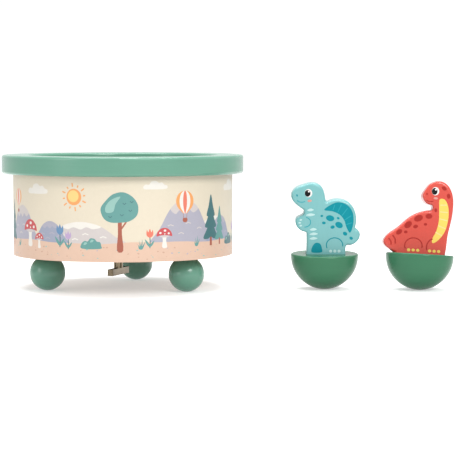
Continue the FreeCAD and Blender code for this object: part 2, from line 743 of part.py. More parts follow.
def make_cylinder_train():
    grip = spindle_radius + dims.snug_gap
    fast_grip = fast_radius + dims.snug_gap
    start = pinion_start - dims.end_gap * 4
    arbor = [(start, 0), (start, spindle_radius), (spindle_end, spindle_radius), (spindle_end, 0)]
    cylinder_frame.seat(lathe("cylinder_arbor", arbor, "H_Axis"), "cylinder_arbor")
    gear_on(0, "cylinder_pinion", pinion_start,
            gear(dims.crown_pinion_teeth, dims.crown_module, dims.crown_face, grip))
    gear_on(0, "cylinder_wheel", wheel_start,
            gear(dims.wheel_teeth, dims.train_module, dims.wheel_thick, grip))
    start = cylinder_end - dims.bearing_width - dims.end_gap * 2
    spindle = [(start, 0), (start, fast_radius), (spindle_end, fast_radius), (spindle_end, 0)]
    fast_frame.seat(lathe("governor_spindle", spindle, "H_Axis"), "governor_spindle")
    half_tooth = 180.0 / float(dims.fast_pinion_teeth)
    pinion_width = dims.wheel_thick + 2 * dims.end_gap
    gear_on(-fast_line, "governor_pinion", wheel_start - dims.end_gap,
            gear(dims.fast_pinion_teeth, dims.train_module, pinion_width, fast_grip, half_tooth))
    gear_on(-fast_line, "worm_wheel", worm_wheel_start,
            gear(dims.worm_wheel_teeth, dims.worm_module, dims.worm_wheel_thick, fast_grip))


# The tune: beats in one turn, pins to each comb tooth, and the beats between them
TUNE_BEATS = 24
TUNE_VOICES = 4
VOICE_STRIDE = 7
NOTE_STRIDE = 5
FIRST_BEAT = 7.5


def make_pin_cylinder():
    """A brass cylinder with its tune set out in rows of pins, one row to each comb tooth."""
    radius, length = float(dims.cylinder_diameter) / 2, float(cylinder_length)
    pin_radius, pin_top = float(dims.pin_diameter) / 2, radius + float(dims.pin_height)
    blank = Part.makeCylinder(radius, length)
    pins = []
    for note in range(int(float(dims.comb_notes))):
        station = float(dims.tooth_pitch) * (note + 1)
        for voice in range(TUNE_VOICES):
            beat = (note * NOTE_STRIDE + voice * VOICE_STRIDE) % TUNE_BEATS
            turn = math.radians(360.0 * beat / TUNE_BEATS + FIRST_BEAT)
            out = Vector(math.cos(turn), math.sin(turn), 0)
            foot = Vector(0, 0, station) + out * (radius - pin_radius)
            pins.append(Part.makeCylinder(pin_radius, pin_top - radius + pin_radius, foot, out))
    pinned = blank.multiFuse(pins).cut(Part.makeCylinder(float(spindle_radius + dims.snug_gap), length))
    gear_on(0, "pin_cylinder", cylinder_start, pinned)


# Comb, bedplate and brackets
comb_tip = dims.cylinder_diameter / 2 + dims.pin_height + dims.comb_clearance
comb_back = comb_tip + dims.comb_depth
comb_low = axis_level - dims.comb_thick / 2
comb_high = axis_level + dims.comb_thick / 2
comb_start = cylinder_start + dims.tooth_pitch / 2
comb_end = comb_start + dims.comb_notes * dims.tooth_pitch
comb_screw_line = comb_back - dims.comb_bar / 2
comb_screw_stations = [comb_start + dims.comb_bar / 2, comb_end - dims.comb_bar / 2]


def make_comb():
    blank = block("comb_blank", (comb_start, comb_end), (comb_tip, comb_back), (comb_low, comb_high))
    count = int(float(dims.comb_notes))
    slits = []
    for index in range(1, count):
        x = comb_start + index * dims.tooth_pitch
        root = comb_back - dims.comb_bar - dims.comb_taper * (index / count)
        half = dims.tooth_slit / 2
        slits.append(block(f"comb_slit_{index}", (x - half, x + half), (comb_tip - dims.end_gap, root),
                           (comb_low, comb_high)))
    free, tapped = dims.machine_screw / 2 + dims.running_gap, dims.machine_screw / 2 + dims.snug_gap
    holes = [rod(f"comb_hole_{index}", free, dims.comb_thick, x, comb_screw_line, comb_low)
             for index, x in enumerate(comb_screw_stations)]
    movement.seat(cut("comb", blank, slits + holes), "comb")
    bar = block("comb_bar_blank", (comb_start, comb_end), (comb_back - dims.comb_bar, comb_back),
                (bed_top, comb_low))
    bores = [rod(f"comb_bore_{index}", tapped, comb_low - bed_top, x, comb_screw_line, bed_top)
             for index, x in enumerate(comb_screw_stations)]
    movement.seat(cut("comb_block", bar, bores), "comb_block")
    length = comb_high - base_top - dims.end_gap
    screws = [machine_screw(f"comb_screw_{index}", length, x, comb_screw_line, comb_high)
              for index, x in enumerate(comb_screw_stations)]
    movement.seat(group("comb_screws", screws), "comb_screws")


half_bracket = dims.bracket_width / 2
bracket_top = bed_top + dims.bracket_foot
bracket_screw_stations = [inner_bearing + dims.bearing_width + dims.bracket_reach / 2,
                          outer_bearing - dims.bracket_reach / 2 + dims.end_gap]
governor_low = -worm_line - half_bracket + dims.end_gap * 2
governor_high = -fast_line + half_bracket
governor_screw = (cylinder_end + dims.machine_screw_head / 2 + dims.end_gap * 2,
                  -fast_line - dims.bracket_width)


def bearing_bracket(name, post, foot, screw_station):
    """An angle bracket: a post bored for the spindle, and a foot with a screw hole."""
    side = (-half_bracket, half_bracket)
    head = axis_level + dims.bracket_head
    solid = fuse(f"{name}_blank", [block(f"{name}_post", post, side, (bed_top, head)),
                                   block(f"{name}_foot", foot, side, (bed_top, bracket_top))])
    bore = rod(f"{name}_bore", spindle_radius + dims.running_gap, post[1] - post[0], post[0], 0,
               axis_level, ALONG_X)
    hole = rod(f"{name}_hole", dims.machine_screw / 2 + dims.running_gap, dims.bracket_foot,
               screw_station, 0, bed_top)
    movement.seat(cut(name, solid, [bore, hole]), name)


def make_brackets():
    inner = (inner_bearing, inner_bearing + dims.bearing_width)
    outer = (outer_bearing, outer_bearing + dims.bearing_width)
    bearing_bracket("cylinder_bracket_inner", inner, (inner[0], inner[1] + dims.bracket_reach),
                    bracket_screw_stations[0])
    bearing_bracket("cylinder_bracket_outer", outer, (outer[0] - dims.bracket_reach + dims.end_gap, outer[1]),
                    bracket_screw_stations[1])
    length = dims.bracket_foot + dims.bed_thick - dims.end_gap
    screws = [machine_screw(f"bracket_screw_{index}", length, x, 0, bracket_top)
              for index, x in enumerate(bracket_screw_stations)]
    movement.seat(group("bracket_screws", screws), "bracket_screws")


def make_governor_bracket():
    """A frame that carries the fast spindle at two posts and the worm between a foot and a head."""
    near = cylinder_end - dims.bearing_width
    posts = [(near, near + dims.bearing_width), (outer_bearing, outer_bearing + dims.bearing_width)]
    spindle_side = (-fast_line - half_bracket, governor_high)
    worm_side = (governor_low, -worm_line + half_bracket)
    head_low = bed_top + dims.governor_height
    head_high = head_low + dims.bracket_foot
    solids = [block("governor_foot", (near, posts[1][1]), (governor_low, governor_high),
                    (bed_top, bracket_top)),
              block("governor_tower", posts[0], worm_side, (bed_top, head_high)),
              block("governor_head", (near, worm_station + half_bracket), worm_side, (head_low, head_high))]
    solids += [block(f"governor_post_{index}", post, spindle_side, (bed_top, axis_level + dims.bracket_head))
               for index, post in enumerate(posts)]
    free = fast_radius + dims.running_gap
    bores = [rod(f"governor_bore_{index}", free, dims.bearing_width, post[0], -fast_line, axis_level, ALONG_X)
             for index, post in enumerate(posts)]
    bores += [rod("worm_foot_bore", free, dims.bracket_foot, worm_station, -worm_line, bed_top),
              rod("worm_head_bore", free, dims.bracket_foot, worm_station, -worm_line, head_low),
              rod("governor_screw_hole", dims.machine_screw / 2 + dims.running_gap, dims.bracket_foot,
                  *governor_screw, bed_top)]
    movement.seat(cut("governor_bracket", fuse("governor_frame", solids), bores), "governor_bracket")
    length = dims.bracket_foot + dims.bed_thick - dims.end_gap
    fastener = machine_screw("governor_screw", length, *governor_screw, bracket_top)
    movement.seat(group("governor_bracket_screw", [fastener]), "governor_bracket_screw")


def make_bedplate():
    plate = block("bed_blank", (-dims.bed_back, dims.bed_front), (-dims.bed_side, dims.bed_side),
                  (base_top, bed_top))
    tapped = dims.machine_screw / 2 + dims.snug_gap
    points = list(bed_screw_local) + [(x, as_size(0)) for x in bracket_screw_stations]
    points += [(x, comb_screw_line) for x in comb_screw_stations] + [governor_screw]
    holes = [rod(f"bed_hole_{index}", tapped, dims.bed_thick, x, y, base_top)
             for index, (x, y) in enumerate(points)]
    holes.append(rod("bed_bush_hole", dims.bush_diameter / 2 + dims.snug_gap, dims.bed_thick, 0, 0, base_top))
    clear = wall_inner - dims.end_gap * 5
    round_blank = rod("bed_round", clear, dims.bed_thick, -dims.movement_shift * cosine(dims.movement_angle),
                      dims.movement_shift * sine(dims.movement_angle), base_top)
    trimmed = doc.addObject("Part::Common", "bed_trimmed")
    trimmed.Base = plate
    trimmed.Tool = round_blank
    movement.seat(cut("bedplate", trimmed, holes), "bedplate")
    length = dims.base_thick - dims.machine_head_height + dims.bed_thick - dims.end_gap
    seat = base_bottom + dims.machine_head_height
    screws = [machine_screw(f"bed_screw_{index}", length, x, y, seat, False)
              for index, (x, y) in enumerate(bed_screw_local)]
    movement.seat(group("bedplate_screws", screws), "bedplate_screws")


# Air-brake governor
WORM_STARTS = 2


def make_governor_worm():
    module, middle = float(dims.worm_module), float(axis_level)
    pitch = math.pi * module
    lead = WORM_STARTS * pitch
    radius = float(worm_radius)
    core, tip = radius - DEDENDUM * module, radius + ADDENDUM * module
    half = TOOTH_SHARE * pitch / 2
    buried = core - module / 2
    wide, narrow = half + (radius - buried) * PRESSURE_SLOPE, half - (tip - radius) * PRESSURE_SLOPE
    section = [Vector(buried, 0, -wide), Vector(tip, 0, -narrow),
               Vector(tip, 0, narrow), Vector(buried, 0, wide)]
    reach = lead + pitch
    worm = Part.makeCylinder(core, 2 * reach, Vector(0, 0, middle - reach))
    for index in range(WORM_STARTS):
        sweep = Part.BRepOffsetAPI.MakePipeShell(Part.Wire(Part.makeHelix(lead, 2 * lead, buried)))
        sweep.setBiNormalMode(Z_AXIS)
        sweep.add(Part.makePolygon(section + section[:1]))
        sweep.build()
        sweep.makeSolid()
        thread = sweep.shape()
        thread.translate(Vector(0, 0, middle - lead))
        thread.rotate(Vector(), Z_AXIS, 360.0 * index / WORM_STARTS)
        worm = worm.fuse(thread)
    foot = float(bed_top + dims.end_gap)
    head = float(bed_top + dims.governor_height + dims.bracket_foot)
    spindle = Part.makeCylinder(float(fast_radius), head - foot, Vector(0, 0, foot))
    worm_frame.seat(shaped("governor_worm", worm.fuse(spindle)), "governor_worm")


def make_governor_fan():
    high = bed_top + dims.governor_height - dims.end_gap * 2
    low = high - dims.fan_height
    span, blade, hub = dims.fan_diameter / 2, dims.fan_blade / 2, fast_radius + dims.fan_blade * 2
    blank = fuse("fan_blank", [rod("fan_hub", hub, dims.fan_height, 0, 0, low),
                               block("fan_blades", (-span, span), (-blade, blade), (low, high))])
    bore = rod("fan_bore", fast_radius + dims.snug_gap, dims.fan_height, 0, 0, low)
    worm_frame.seat(cut("governor_fan", blank, [bore]), "governor_fan")


# Figures
# Each outline is a chain of smooth stretches that meet at corners, x from the middle of the
# base and z up from its flat, in millimetres.
SAIL_OUTLINE = [
    [(-10.8, 0.0), (-10.5, 6.5), (-10.6, 12.9)],
    [(-10.6, 12.9), (-14.0, 13.8), (-16.7, 17.0), (-16.3, 20.9), (-13.2, 22.6), (-12.3, 25.7)],
    [(-12.3, 25.7), (-16.7, 28.8), (-19.4, 33.2), (-17.3, 37.7), (-12.8, 39.8), (-6.8, 41.0), (-2.3, 39.0),
     (-0.4, 34.6), (0.6, 29.5)],
    [(0.6, 29.5), (7.8, 31.6), (13.8, 29.6), (17.4, 23.7), (17.0, 15.0)],
    [(17.0, 15.0), (20.1, 11.2), (18.2, 7.2), (12.3, 5.6)],
    [(12.3, 5.6), (11.8, 2.7), (11.9, 0.0)],
]
LONGNECK_OUTLINE = [
    [(-15.0, 0.0), (-18.8, 2.2), (-21.7, 5.4), (-20.2, 9.2), (-13.9, 14.6), (-8.0, 20.2),
     (-2.2, 23.8), (5.0, 25.2)],
    [(5.0, 25.2), (5.3, 26.8), (4.6, 28.4)],
    [(4.6, 28.4), (1.4, 29.3), (-0.8, 33.2), (0.8, 37.0), (3.5, 40.5), (7.6, 42.2), (12.4, 40.8),
     (16.0, 35.6), (17.1, 28.0), (16.3, 19.0), (14.9, 11.0), (14.5, 5.0), (13.9, 0.0)],
]


def plate_from(outline):
    """A thick cut-out that stands on the base's flat, with its corners and face edges rounded."""
    thick, low = float(dims.plate_thick), float(dims.flat_rise)
    edges = []
    for stretch in outline:
        curve = Part.BSplineCurve()
        curve.interpolate([Vector(x, -thick / 2, z + low) for x, z in stretch])
        edges.append(curve.toShape())
    first, last = outline[0][0], outline[-1][-1]
    edges.append(Part.LineSegment(Vector(last[0], -thick / 2, last[1] + low),
                                  Vector(first[0], -thick / 2, first[1] + low)).toShape())
    plate = Part.Face(Part.Wire(edges)).extrude(Vector(0, thick, 0))
    corners = [edge for edge in plate.Edges
               if edge.BoundBox.YLength > thick / 2 and edge.BoundBox.ZMin > low + NEAR]
    plate = plate.makeFillet(float(dims.plate_corner), corners)
    rims = [edge for edge in plate.Edges
            if edge.BoundBox.YLength < NEAR and edge.BoundBox.ZMax > low + NEAR]
    return plate.makeFillet(float(dims.plate_round), rims)


def make_figure(kind, frame, outline):
    """One dancing figure: cut-out, ball base, peg and the magnet weight in the base's bore."""
    bore = dims.bore_diameter / 2
    fit = dims.glue_gap
    base = turned_ball(f"{kind}_base", ball_radius, dims.flat_rise)
    flat_edge = math.sqrt(float(ball_radius) ** 2 - float(dims.flat_rise) ** 2)
    round_over(base, f"{kind}_base_rounding", dims.ball_round, circle_at(flat_edge, dims.flat_rise))
    drill(base, f"{kind}_bore", dims.flat_rise, dims.bore_depth, [(0, 0, bore)])
    frame.seat(base, f"{kind}_base")
    floor = dims.flat_rise - dims.bore_depth
    weight_top = floor + dims.weight_length
    peg_top = dims.flat_rise + dims.peg_rise
    frame.seat(disc(f"{kind}_magnet", bore - fit, floor, weight_top), f"{kind}_magnet")
    frame.seat(disc(f"{kind}_peg", bore - fit, weight_top, peg_top), f"{kind}_peg")
    socket = Part.makeCylinder(float(bore), float(dims.peg_rise + fit), Vector(0, 0, float(dims.flat_rise)))
    frame.seat(shaped(f"{kind}_figure", plate_from(outline).cut(socket)), f"{kind}_figure")


def make_all():
    for make in (make_base_plate, make_drum_wall, make_print_sleeve, make_top_ring, make_stage_plate,
                 make_ring_dowels, make_base_screws, make_feet, make_key, make_winding_arbor, make_key_bush,
                 make_clutch_spring, make_spring_barrel, make_mainspring, make_magnet_arm, make_crown_wheel,
                 make_cylinder_train, make_pin_cylinder, make_comb, make_brackets, make_governor_bracket,
                 make_bedplate, make_governor_worm, make_governor_fan):
        make()
    make_figure("sail", sail_frame, SAIL_OUTLINE)
    make_figure("longneck", longneck_frame, LONGNECK_OUTLINE)


def write_parts():
    """Check every object of the document, then write each sub-part to its own file."""
    doc.recompute()
    for item in doc.Objects:
        if "Invalid" in item.State or "Error" in item.State:
            raise ValueError(f"{item.Name} failed: {item.State}")
    for item in nodes:
        if item.Shape.isNull() or not item.Shape.isValid():
            raise ValueError(f"{item.Label} has no valid shape")
        if not item.Shape.Solids:
            raise ValueError(f"{item.Label} has no solid")
    os.makedirs("parts", exist_ok=True)
    for item in nodes:
        item.Shape.exportStep(f"parts/{item.Label}.step")
    print(len(nodes), "sub-parts written")


make_all()
write_parts()
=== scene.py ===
"""A child's wooden wind-up music box with two magnetic figures: looks, light and camera."""
import json
import math
import random

import bmesh
import bpy
from mathutils import Matrix, Vector
from mathutils.geometry import delaunay_2d_cdt


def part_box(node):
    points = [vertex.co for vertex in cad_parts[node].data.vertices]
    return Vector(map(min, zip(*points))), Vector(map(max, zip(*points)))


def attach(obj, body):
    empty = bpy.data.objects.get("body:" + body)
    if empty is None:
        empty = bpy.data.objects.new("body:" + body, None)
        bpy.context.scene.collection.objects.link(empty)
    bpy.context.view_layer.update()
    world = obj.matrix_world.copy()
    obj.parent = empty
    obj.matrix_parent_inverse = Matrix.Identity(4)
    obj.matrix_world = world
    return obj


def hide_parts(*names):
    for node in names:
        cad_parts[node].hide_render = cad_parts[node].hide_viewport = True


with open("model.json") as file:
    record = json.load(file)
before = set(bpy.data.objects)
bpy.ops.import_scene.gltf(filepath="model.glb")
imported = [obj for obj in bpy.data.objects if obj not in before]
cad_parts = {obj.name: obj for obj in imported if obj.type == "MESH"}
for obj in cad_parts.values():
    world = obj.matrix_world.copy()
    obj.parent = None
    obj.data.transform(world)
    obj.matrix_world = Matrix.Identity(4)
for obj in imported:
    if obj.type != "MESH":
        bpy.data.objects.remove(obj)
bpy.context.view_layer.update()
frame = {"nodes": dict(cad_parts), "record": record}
MM = 0.001
scene = bpy.context.scene


# Colour and shading
PAINT_LEVEL = 0.55
WHITE = (1, 1, 1, 1)


def srgb(red, green, blue):
    """A colour as it looks beside the bright floor, as the share of light that the paint returns."""
    linear = []
    for level in (red, green, blue):
        share = level / 255
        linear.append(share / 12.92 if share <= 0.04045 else ((share + 0.055) / 1.055) ** 2.4)
    return (*[PAINT_LEVEL * channel for channel in linear], 1.0)


def shade(colour, factor):
    return (*[min(1.0, channel * factor) for channel in colour[:3]], 1.0)


def grey(level):
    return (level, level, level, 1)


# Stretch of a texture along X, Y and Z: small along the grain
EVEN = (1, 1, 1)
UPRIGHT = (1, 1, 0.12)
CROSSWISE = (0.12, 1, 1)
TURNED = (0.03, 0.03, 1)
DRAWN = (0.05, 1, 1)
ROLLED = (1, 1, 0.05)


class Surface:
    """A material whose shader is fed by textures that stay fixed to the piece."""

    def __init__(self, name, **constants):
        self.material = bpy.data.materials.new(name)
        self.material.use_nodes = True
        self.tree = self.material.node_tree
        self.shader = self.tree.nodes["Principled BSDF"]
        self.coordinates = self.tree.nodes.new("ShaderNodeTexCoord").outputs["Object"]
        self.set_constants(self.shader, constants)

    def set_constants(self, node, constants):
        for socket, value in constants.items():
            node.inputs[socket.replace("_", " ")].default_value = value

    def link(self, source, target):
        self.tree.links.new(source, target)

    def node(self, kind, **constants):
        node = self.tree.nodes.new(kind)
        self.set_constants(node, constants)
        return node

    def texture(self, kind, output, stretch, **constants):
        mapping = self.node("ShaderNodeMapping", Scale=stretch)
        self.link(self.coordinates, mapping.inputs["Vector"])
        texture = self.node(kind, **constants)
        self.link(mapping.outputs["Vector"], texture.inputs["Vector"])
        return texture.outputs[output]

    def noise(self, scale, detail=3.0, stretch=EVEN, rough=0.5):
        return self.texture("ShaderNodeTexNoise", "Fac", stretch, Scale=scale, Detail=detail, Roughness=rough)

    def cells(self, scale):
        return self.texture("ShaderNodeTexVoronoi", "Distance", EVEN, Scale=scale)

    def rings(self, scale, distortion, stretch):
        settings = dict(Scale=scale, Distortion=distortion, Detail=3.0)
        return self.texture("ShaderNodeTexWave", "Fac", stretch, **settings)

    def ramp(self, factor, first, second, start=0.3, end=0.7):
        """A change from one colour to another over a part of the factor's range."""
        node = self.node("ShaderNodeValToRGB")
        for element, place, colour in zip(node.color_ramp.elements, (start, end), (first, second)):
            element.position = place
            element.color = colour
        self.link(factor, node.inputs["Fac"])
        return node.outputs["Color"]

    def multiplied(self, first, second):
        node = self.node("ShaderNodeMix", Factor=1.0)
        node.data_type = "RGBA"
        node.blend_type = "MULTIPLY"
        for name, source in (("A", first), ("B", second)):
            self.link(source, next(item for item in node.inputs if item.name == name and item.type == "RGBA"))
        return next(item for item in node.outputs if item.type == "RGBA")

    def colour(self, output):
        self.link(output, self.shader.inputs["Base Color"])

    def roughness(self, factor, low, high):
        node = self.node("ShaderNodeMapRange", To_Min=low, To_Max=high)
        self.link(factor, node.inputs["Value"])
        self.link(node.outputs["Result"], self.shader.inputs["Roughness"])

    def bump(self, *layers):
        """Relief from layers of height, each with its depth in millimetres."""
        normal = None
        for height, depth in layers:
            node = self.node("ShaderNodeBump", Strength=1.0, Distance=depth * MM)
            self.link(height, node.inputs["Height"])
            if normal:
                self.link(normal, node.inputs["Normal"])
            normal = node.outputs["Normal"]
        self.link(normal, self.shader.inputs["Normal"])


# Materials, one function for each kind
PAINT_TONE = 0.012
INK_TONE = 0.015


def painted_wood(name, colour, grain=UPRIGHT, rough=(0.2, 0.25), gloss=0.4):
    """Sprayed satin paint that lets a little of the wood's grain show through."""
    look = Surface(name, Specular_IOR_Level=gloss)
    fibre = look.noise(scale=900, detail=4, stretch=grain, rough=0.65)
    peel = look.noise(scale=1500, detail=2)
    tone = look.ramp(look.noise(scale=55), shade(colour, 1 - PAINT_TONE), shade(colour, 1 + PAINT_TONE))
    streak = look.ramp(fibre, grey(0.97), WHITE, start=0.35, end=0.65)
    look.colour(look.multiplied(tone, streak))
    look.roughness(look.noise(scale=140), *rough)
    look.bump((fibre, 0.001), (peel, 0.0005))
    return look.material


def printed_paper(name, colour):
    """Offset print on coated paper, with a little tooth and uneven ink."""
    look = Surface(name)
    ink = look.noise(scale=420, detail=4, rough=0.7)
    mottle = look.noise(scale=60, detail=2)
    base = look.ramp(ink, shade(colour, 1 - INK_TONE), shade(colour, 1 + INK_TONE))
    look.colour(look.multiplied(base, look.ramp(mottle, grey(1 - INK_TONE), WHITE)))
    look.roughness(look.noise(scale=260), low=0.42, high=0.56)
    look.bump((look.noise(scale=2600, rough=0.6), 0.002))
    return look.material


def plain_wood(name, light, dark, along):
    """Sanded wood: long grain lines, pores and a slow change of tone."""
    look = Surface(name)
    stretch = tuple(0.07 if axis == along else 1.0 for axis in "xyz")
    lines = look.rings(scale=120, distortion=5.0, stretch=stretch)
    pores = look.noise(scale=1700, stretch=stretch, rough=0.7)
    base = look.ramp(lines, dark, light, start=0.2, end=0.75)
    streak = look.ramp(pores, (0.72, 0.66, 0.6, 1), WHITE, start=0.38, end=0.55)
    cloud = look.ramp(look.noise(scale=22, detail=2), (0.9, 0.88, 0.85, 1), WHITE)
    look.colour(look.multiplied(look.multiplied(base, streak), cloud))
    look.roughness(pores, low=0.62, high=0.48)
    look.bump((pores, 0.03), (lines, 0.02))
    return look.material


def metal(name, colour, rough, scratch=DRAWN, tarnish=0.12, cast=False):
    """Bare metal: fine lines from its making, or a cast skin, and a patchy dulling."""
    look = Surface(name, Metallic=1.0)
    patch = look.noise(scale=90, detail=4, rough=0.6)
    fine = look.noise(scale=2400) if cast else look.noise(scale=2600, stretch=scratch, rough=0.7)
    base = look.ramp(patch, shade(colour, 1 - tarnish), colour, end=0.72)
    line = look.ramp(fine, grey(0.88), WHITE, end=0.65)
    look.colour(look.multiplied(base, line))
    sheen = look.noise(scale=350, detail=4, stretch=scratch, rough=0.7)
    look.roughness(sheen, low=rough * 0.75, high=rough * 1.35)
    look.bump((fine, 0.03 if cast else 0.004))
    return look.material


def moulded(name, colour):
    """Moulded plastic with a spark-eroded skin."""
    look = Surface(name)
    look.colour(look.ramp(look.noise(scale=70, detail=2), shade(colour, 0.96), colour))
    look.roughness(look.noise(scale=300), low=0.42, high=0.55)
    look.bump((look.cells(scale=2600), 0.012))
    return look.material


# Coats of the CAD solids, by material slot
PAINTS = {
    "mint_paint": dict(colour=srgb(107, 163, 140), grain=TURNED),
    "stage_paint": dict(colour=srgb(148, 188, 168), grain=CROSSWISE, rough=(0.35, 0.45), gloss=0.2),
    "base_green_paint": dict(colour=srgb(68, 126, 94), grain=TURNED, gloss=0.12),
    "teal_paint": dict(colour=srgb(126, 192, 193)),
    "coral_paint": dict(colour=srgb(220, 79, 64)),
}
WOODS = {
    "plywood": dict(light=srgb(222, 190, 146), dark=srgb(196, 158, 112), along="x"),
    "beech": dict(light=srgb(226, 186, 140), dark=srgb(198, 150, 106), along="z"),
}
METALS = {
    "nickel_plate": dict(colour=srgb(162, 146, 122), rough=0.24, tarnish=0.38),
    "steel": dict(colour=srgb(200, 200, 202), rough=0.3),
    "spring_steel": dict(colour=srgb(104, 112, 132), rough=0.28, scratch=ROLLED),
    "magnet_nickel": dict(colour=srgb(226, 226, 228), rough=0.14, tarnish=0.05),
    "zinc_casting": dict(colour=srgb(176, 176, 180), rough=0.5, cast=True),
    "brass": dict(colour=srgb(226, 186, 104), rough=0.24, tarnish=0.2),
    "fan_aluminium": dict(colour=srgb(215, 216, 218), rough=0.34),
}
PLASTICS = {"arm_plastic": dict(colour=srgb(200, 199, 193))}


def dress_solids():
    """Give each CAD solid the coat of its slot. Printed paper is left to the sleeve."""
    coats = {}
    for make, table in ((painted_wood, PAINTS), (plain_wood, WOODS), (metal, METALS), (moulded, PLASTICS)):
        for slot, look in table.items():
            coats[slot] = make(slot, **look)
    for row in frame["record"]["subparts"]:
        coat = coats.get(row["material_slot"])
        if coat:
            mesh = frame["nodes"][row["node"]].data
            mesh.materials.clear()
            mesh.materials.append(coat)


dress_solids()


# Flat shapes for the prints, in millimetres
ARC_STEPS = 16
SAME_POINT = 1e-5
ALL_TRIANGLES = 0


def oval(x, y, wide, tall, turn=0.0, count=28):
    cosine, sine = math.cos(turn), math.sin(turn)
    points = []
    for step in range(count):
        angle = 2 * math.pi * step / count
        along, up = wide / 2 * math.cos(angle), tall / 2 * math.sin(angle)
        points.append((x + along * cosine - up * sine, y + along * sine + up * cosine))
    return points


def arc(x, y, wide, tall, start, end):
    """Points along part of an oval, by angle in degrees."""
    turns = [math.radians(start + (end - start) * step / ARC_STEPS) for step in range(ARC_STEPS + 1)]
    return [(x + wide / 2 * math.cos(turn), y + tall / 2 * math.sin(turn)) for turn in turns]


def smooth(corners, steps=6):
    """A closed curve through the given points."""
    points = []
    count = len(corners)
    for index in range(count):
        before, start, end, after = [Vector(corners[(index + shift) % count]) for shift in (-1, 0, 1, 2)]
        for step in range(steps):
            t = step / steps
            curve = (2 * start + (end - before) * t + (2 * before - 5 * start + 4 * end - after) * t ** 2
                     + (3 * start - before - 3 * end + after) * t ** 3) / 2
            points.append((curve.x, curve.y))
    return points


def stroke(path, width):
    """A band of even width along an open path."""
    spots = [Vector(spot) for spot in path]
    left, right = [], []
    for index, spot in enumerate(spots):
        ahead = spots[min(index + 1, len(spots) - 1)] - spots[max(index - 1, 0)]
        side = Vector((-ahead.y, ahead.x)).normalized() * width / 2
        left.append(tuple(spot + side))
        right.append(tuple(spot - side))
    return left + right[::-1]


def moved(shapes, x, y, size):
    """Shapes scaled about the origin and carried to a new place."""
    return [(ink, [(x + size * along, y + size * up) for along, up in outline]) for ink, outline in shapes]


def signed_area(outline):
    following = outline[1:] + outline[:1]
    return sum(a[0] * b[1] - b[0] * a[1] for a, b in zip(outline, following)) / 2


def flatten(shapes, lines=()):
    """Flat triangles of overlapping shapes, each with the ink of the topmost shape over it."""
    points, edges, faces = [], [], []
    for _, outline in shapes:
        first = len(points)
        points += [Vector(spot) for spot in outline]
        order = list(range(first, len(points)))
        faces.append(order if signed_area(outline) > 0 else order[::-1])
    for start, end in lines:
        edges.append((len(points), len(points) + 1))
        points += [Vector(start), Vector(end)]
    mesh = delaunay_2d_cdt(points, edges, faces, ALL_TRIANGLES, SAME_POINT)
    spots, _, triangles, _, _, owners = mesh
    painted = [(corners, shapes[max(owner)][0]) for corners, owner in zip(triangles, owners) if owner]
    return spots, painted


def mesh_piece(name, body, materials, build):
    """A new piece from a mesh builder, riding on a CAD body."""
    piece = bpy.data.objects.new(name, bpy.data.meshes.new(name))
    scene.collection.objects.link(piece)
    for material in materials:
        piece.data.materials.append(material)
    solid = bmesh.new()
    build(solid)
    bmesh.ops.recalc_face_normals(solid, faces=solid.faces)
    solid.to_mesh(piece.data)
    solid.free()
    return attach(piece, body)


# Motifs of the landscape that stand on the origin
def round_tree():
    trunk = [(-1.5, -1), (-1.0, 8), (-0.9, 17), (1.0, 17), (1.2, 8), (1.9, -1)]
    crown = [(-9, 17), (-10.5, 22), (-7.5, 26.5), (-3.5, 30), (2, 31), (7, 28.5), (10, 24), (9.6, 18.6),
             (5.5, 15.2), (0, 14.4), (-5.4, 14.6)]
    light = [(-7.5, 20), (-7.6, 23.5), (-4.4, 27), (0.4, 28.6), (-2.2, 24.6), (-3.6, 20.4)]
    shapes = [("rust", smooth(trunk, 3)), ("rust", stroke([(0.2, 10), (2.6, 13.4), (4.6, 16.4)], 0.9)),
              ("teal", smooth(crown)), ("pale_teal", smooth(light))]
    for x, y in ((2.6, 24.6), (5.8, 20.8), (1.2, 18.4), (-5.2, 17.4), (6.6, 25.6)):
        leaf = [(x - 0.9, y + 0.5), (x, y - 0.3), (x + 0.9, y + 0.5)]
        shapes.append(("deep_teal", stroke(leaf, 0.45)))
    return shapes


def conifer(ink):
    shapes = [("rust", [(-0.9, -0.8), (0.9, -0.8), (0.8, 6), (-0.8, 6)])]
    for low, high, wide in ((3.4, 14.0, 12.4), (9.4, 20.0, 10.0), (15.4, 26.4, 7.2)):
        half = wide / 2
        tier = [(-half, low), (-half * 0.55, low + 4.6), (0, high), (half * 0.55, low + 4.6), (half, low),
                (half * 0.45, low - 0.7), (0, low + 0.4), (-half * 0.45, low - 0.7)]
        shapes.append((ink, smooth(tier, 4)))
    return shapes


def toadstool():
    stem = [(-1.8, -0.6), (-1.3, 4.6), (-1.6, 8.2), (1.6, 8.2), (1.4, 4.6), (2.1, -0.6)]
    gills = [(-4.2, 7.7), (0, 6.9), (4.2, 7.7), (0, 8.6)]
    cap = [(-6.4, 7.9), (-5.6, 11.2), (-2.8, 13.7), (0, 14.3), (2.8, 13.7), (5.6, 11.2), (6.4, 7.9),
           (3.4, 8.5), (0, 8.7), (-3.4, 8.5)]
    dots = [(-3.3, 10.4, 1.9, 1.6), (0.5, 12.2, 2.2, 1.7), (3.6, 10.0, 1.7, 1.6), (0.3, 9.7, 1.1, 0.9)]
    shapes = [("white", smooth(stem, 4)), ("haze", smooth(gills, 5)), ("red", smooth(cap, 4))]
    for x, y, wide, tall in dots:
        shapes.append(("white", oval(x, y, wide, tall, 0.1)))
    return shapes


